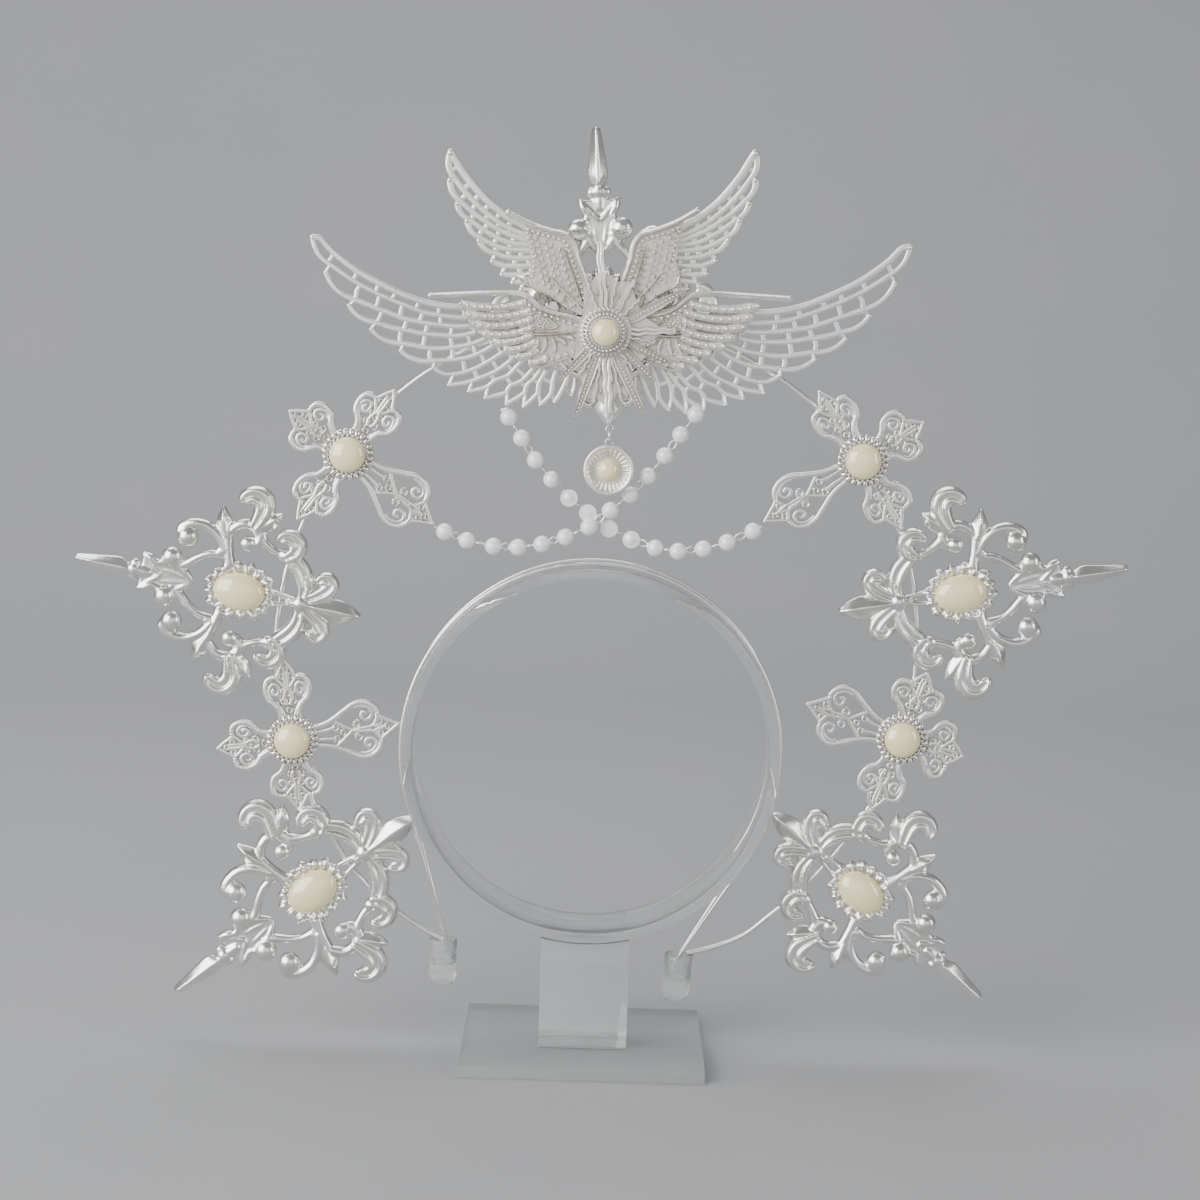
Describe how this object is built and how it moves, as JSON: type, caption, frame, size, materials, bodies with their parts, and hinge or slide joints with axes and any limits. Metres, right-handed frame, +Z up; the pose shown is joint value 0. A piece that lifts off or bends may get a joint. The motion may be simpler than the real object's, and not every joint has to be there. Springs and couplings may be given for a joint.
{
  "type": "halo crown on display stand",
  "caption": "Silver halo crown with spear ornaments, filigree crosses, wings, pearls, bead strings and a hanging drop, held by its headband on a clear ring stand.",
  "frame": {"origin": "centre of the stand base's underside", "axes": "+X to the viewer's right across the halo, -Y towards the viewer, +Z up"},
  "size_m": [0.3609, 0.072, 0.319],
  "materials": {
    "silver": "silver-plated cast metal, satin",
    "pearl": "ivory imitation pearl",
    "beads": "white imitation pearl",
    "acrylic": "clear acrylic, polished",
    "silicone": "translucent silicone"
  },
  "bodies": {
    "crown_on_stand": {"halo_wire": "silver", "headband": "silver", "ornament_top": "silver", "ornament_upper_left": "silver", "ornament_upper_right": "silver", "ornament_lower_left": "silver", "ornament_lower_right": "silver", "cross_upper_left": "silver", "cross_upper_right": "silver", "cross_lower_left": "silver", "cross_lower_right": "silver", "cross_bezel_upper_left": "silver", "cross_bezel_upper_right": "silver", "cross_bezel_lower_left": "silver", "cross_bezel_lower_right": "silver", "wing_left": "silver", "wing_right": "silver", "upper_wing_left": "silver", "upper_wing_right": "silver", "feather_low_left": "silver", "feather_low_right": "silver", "feather_high_left": "silver", "feather_high_right": "silver", "starburst": "silver", "centre_bezel": "silver", "stone_upper_left": "pearl", "stone_upper_right": "pearl", "stone_lower_left": "pearl", "stone_lower_right": "pearl", "cross_pearl_upper_left": "pearl", "cross_pearl_upper_right": "pearl", "cross_pearl_lower_left": "pearl", "cross_pearl_lower_right": "pearl", "centre_pearl": "pearl", "bead_string_left": "beads", "bead_string_right": "beads", "stand_base": "acrylic", "stand_plate_front": "acrylic", "stand_plate_back": "acrylic", "stand_ring": "acrylic", "cap_left": "silicone", "cap_right": "silicone"},
    "link": {"jump_ring": "silver"},
    "hanging_drop": {"drop": "silver", "drop_pearl": "pearl"}
  },
  "joints": [
    {"name": "link_sway", "type": "hinge", "parent": "crown_on_stand", "child": "link", "pos_m": [0.0032, -0.0042, 0.2174], "axis": [0, 1, 0], "range_deg": [-25, 25]},
    {"name": "drop_swing", "type": "hinge", "parent": "link", "child": "hanging_drop", "pos_m": [0.0032, -0.0042, 0.2151], "axis": [1, 0, 0], "range_deg": [-50, 0]}
  ]
}
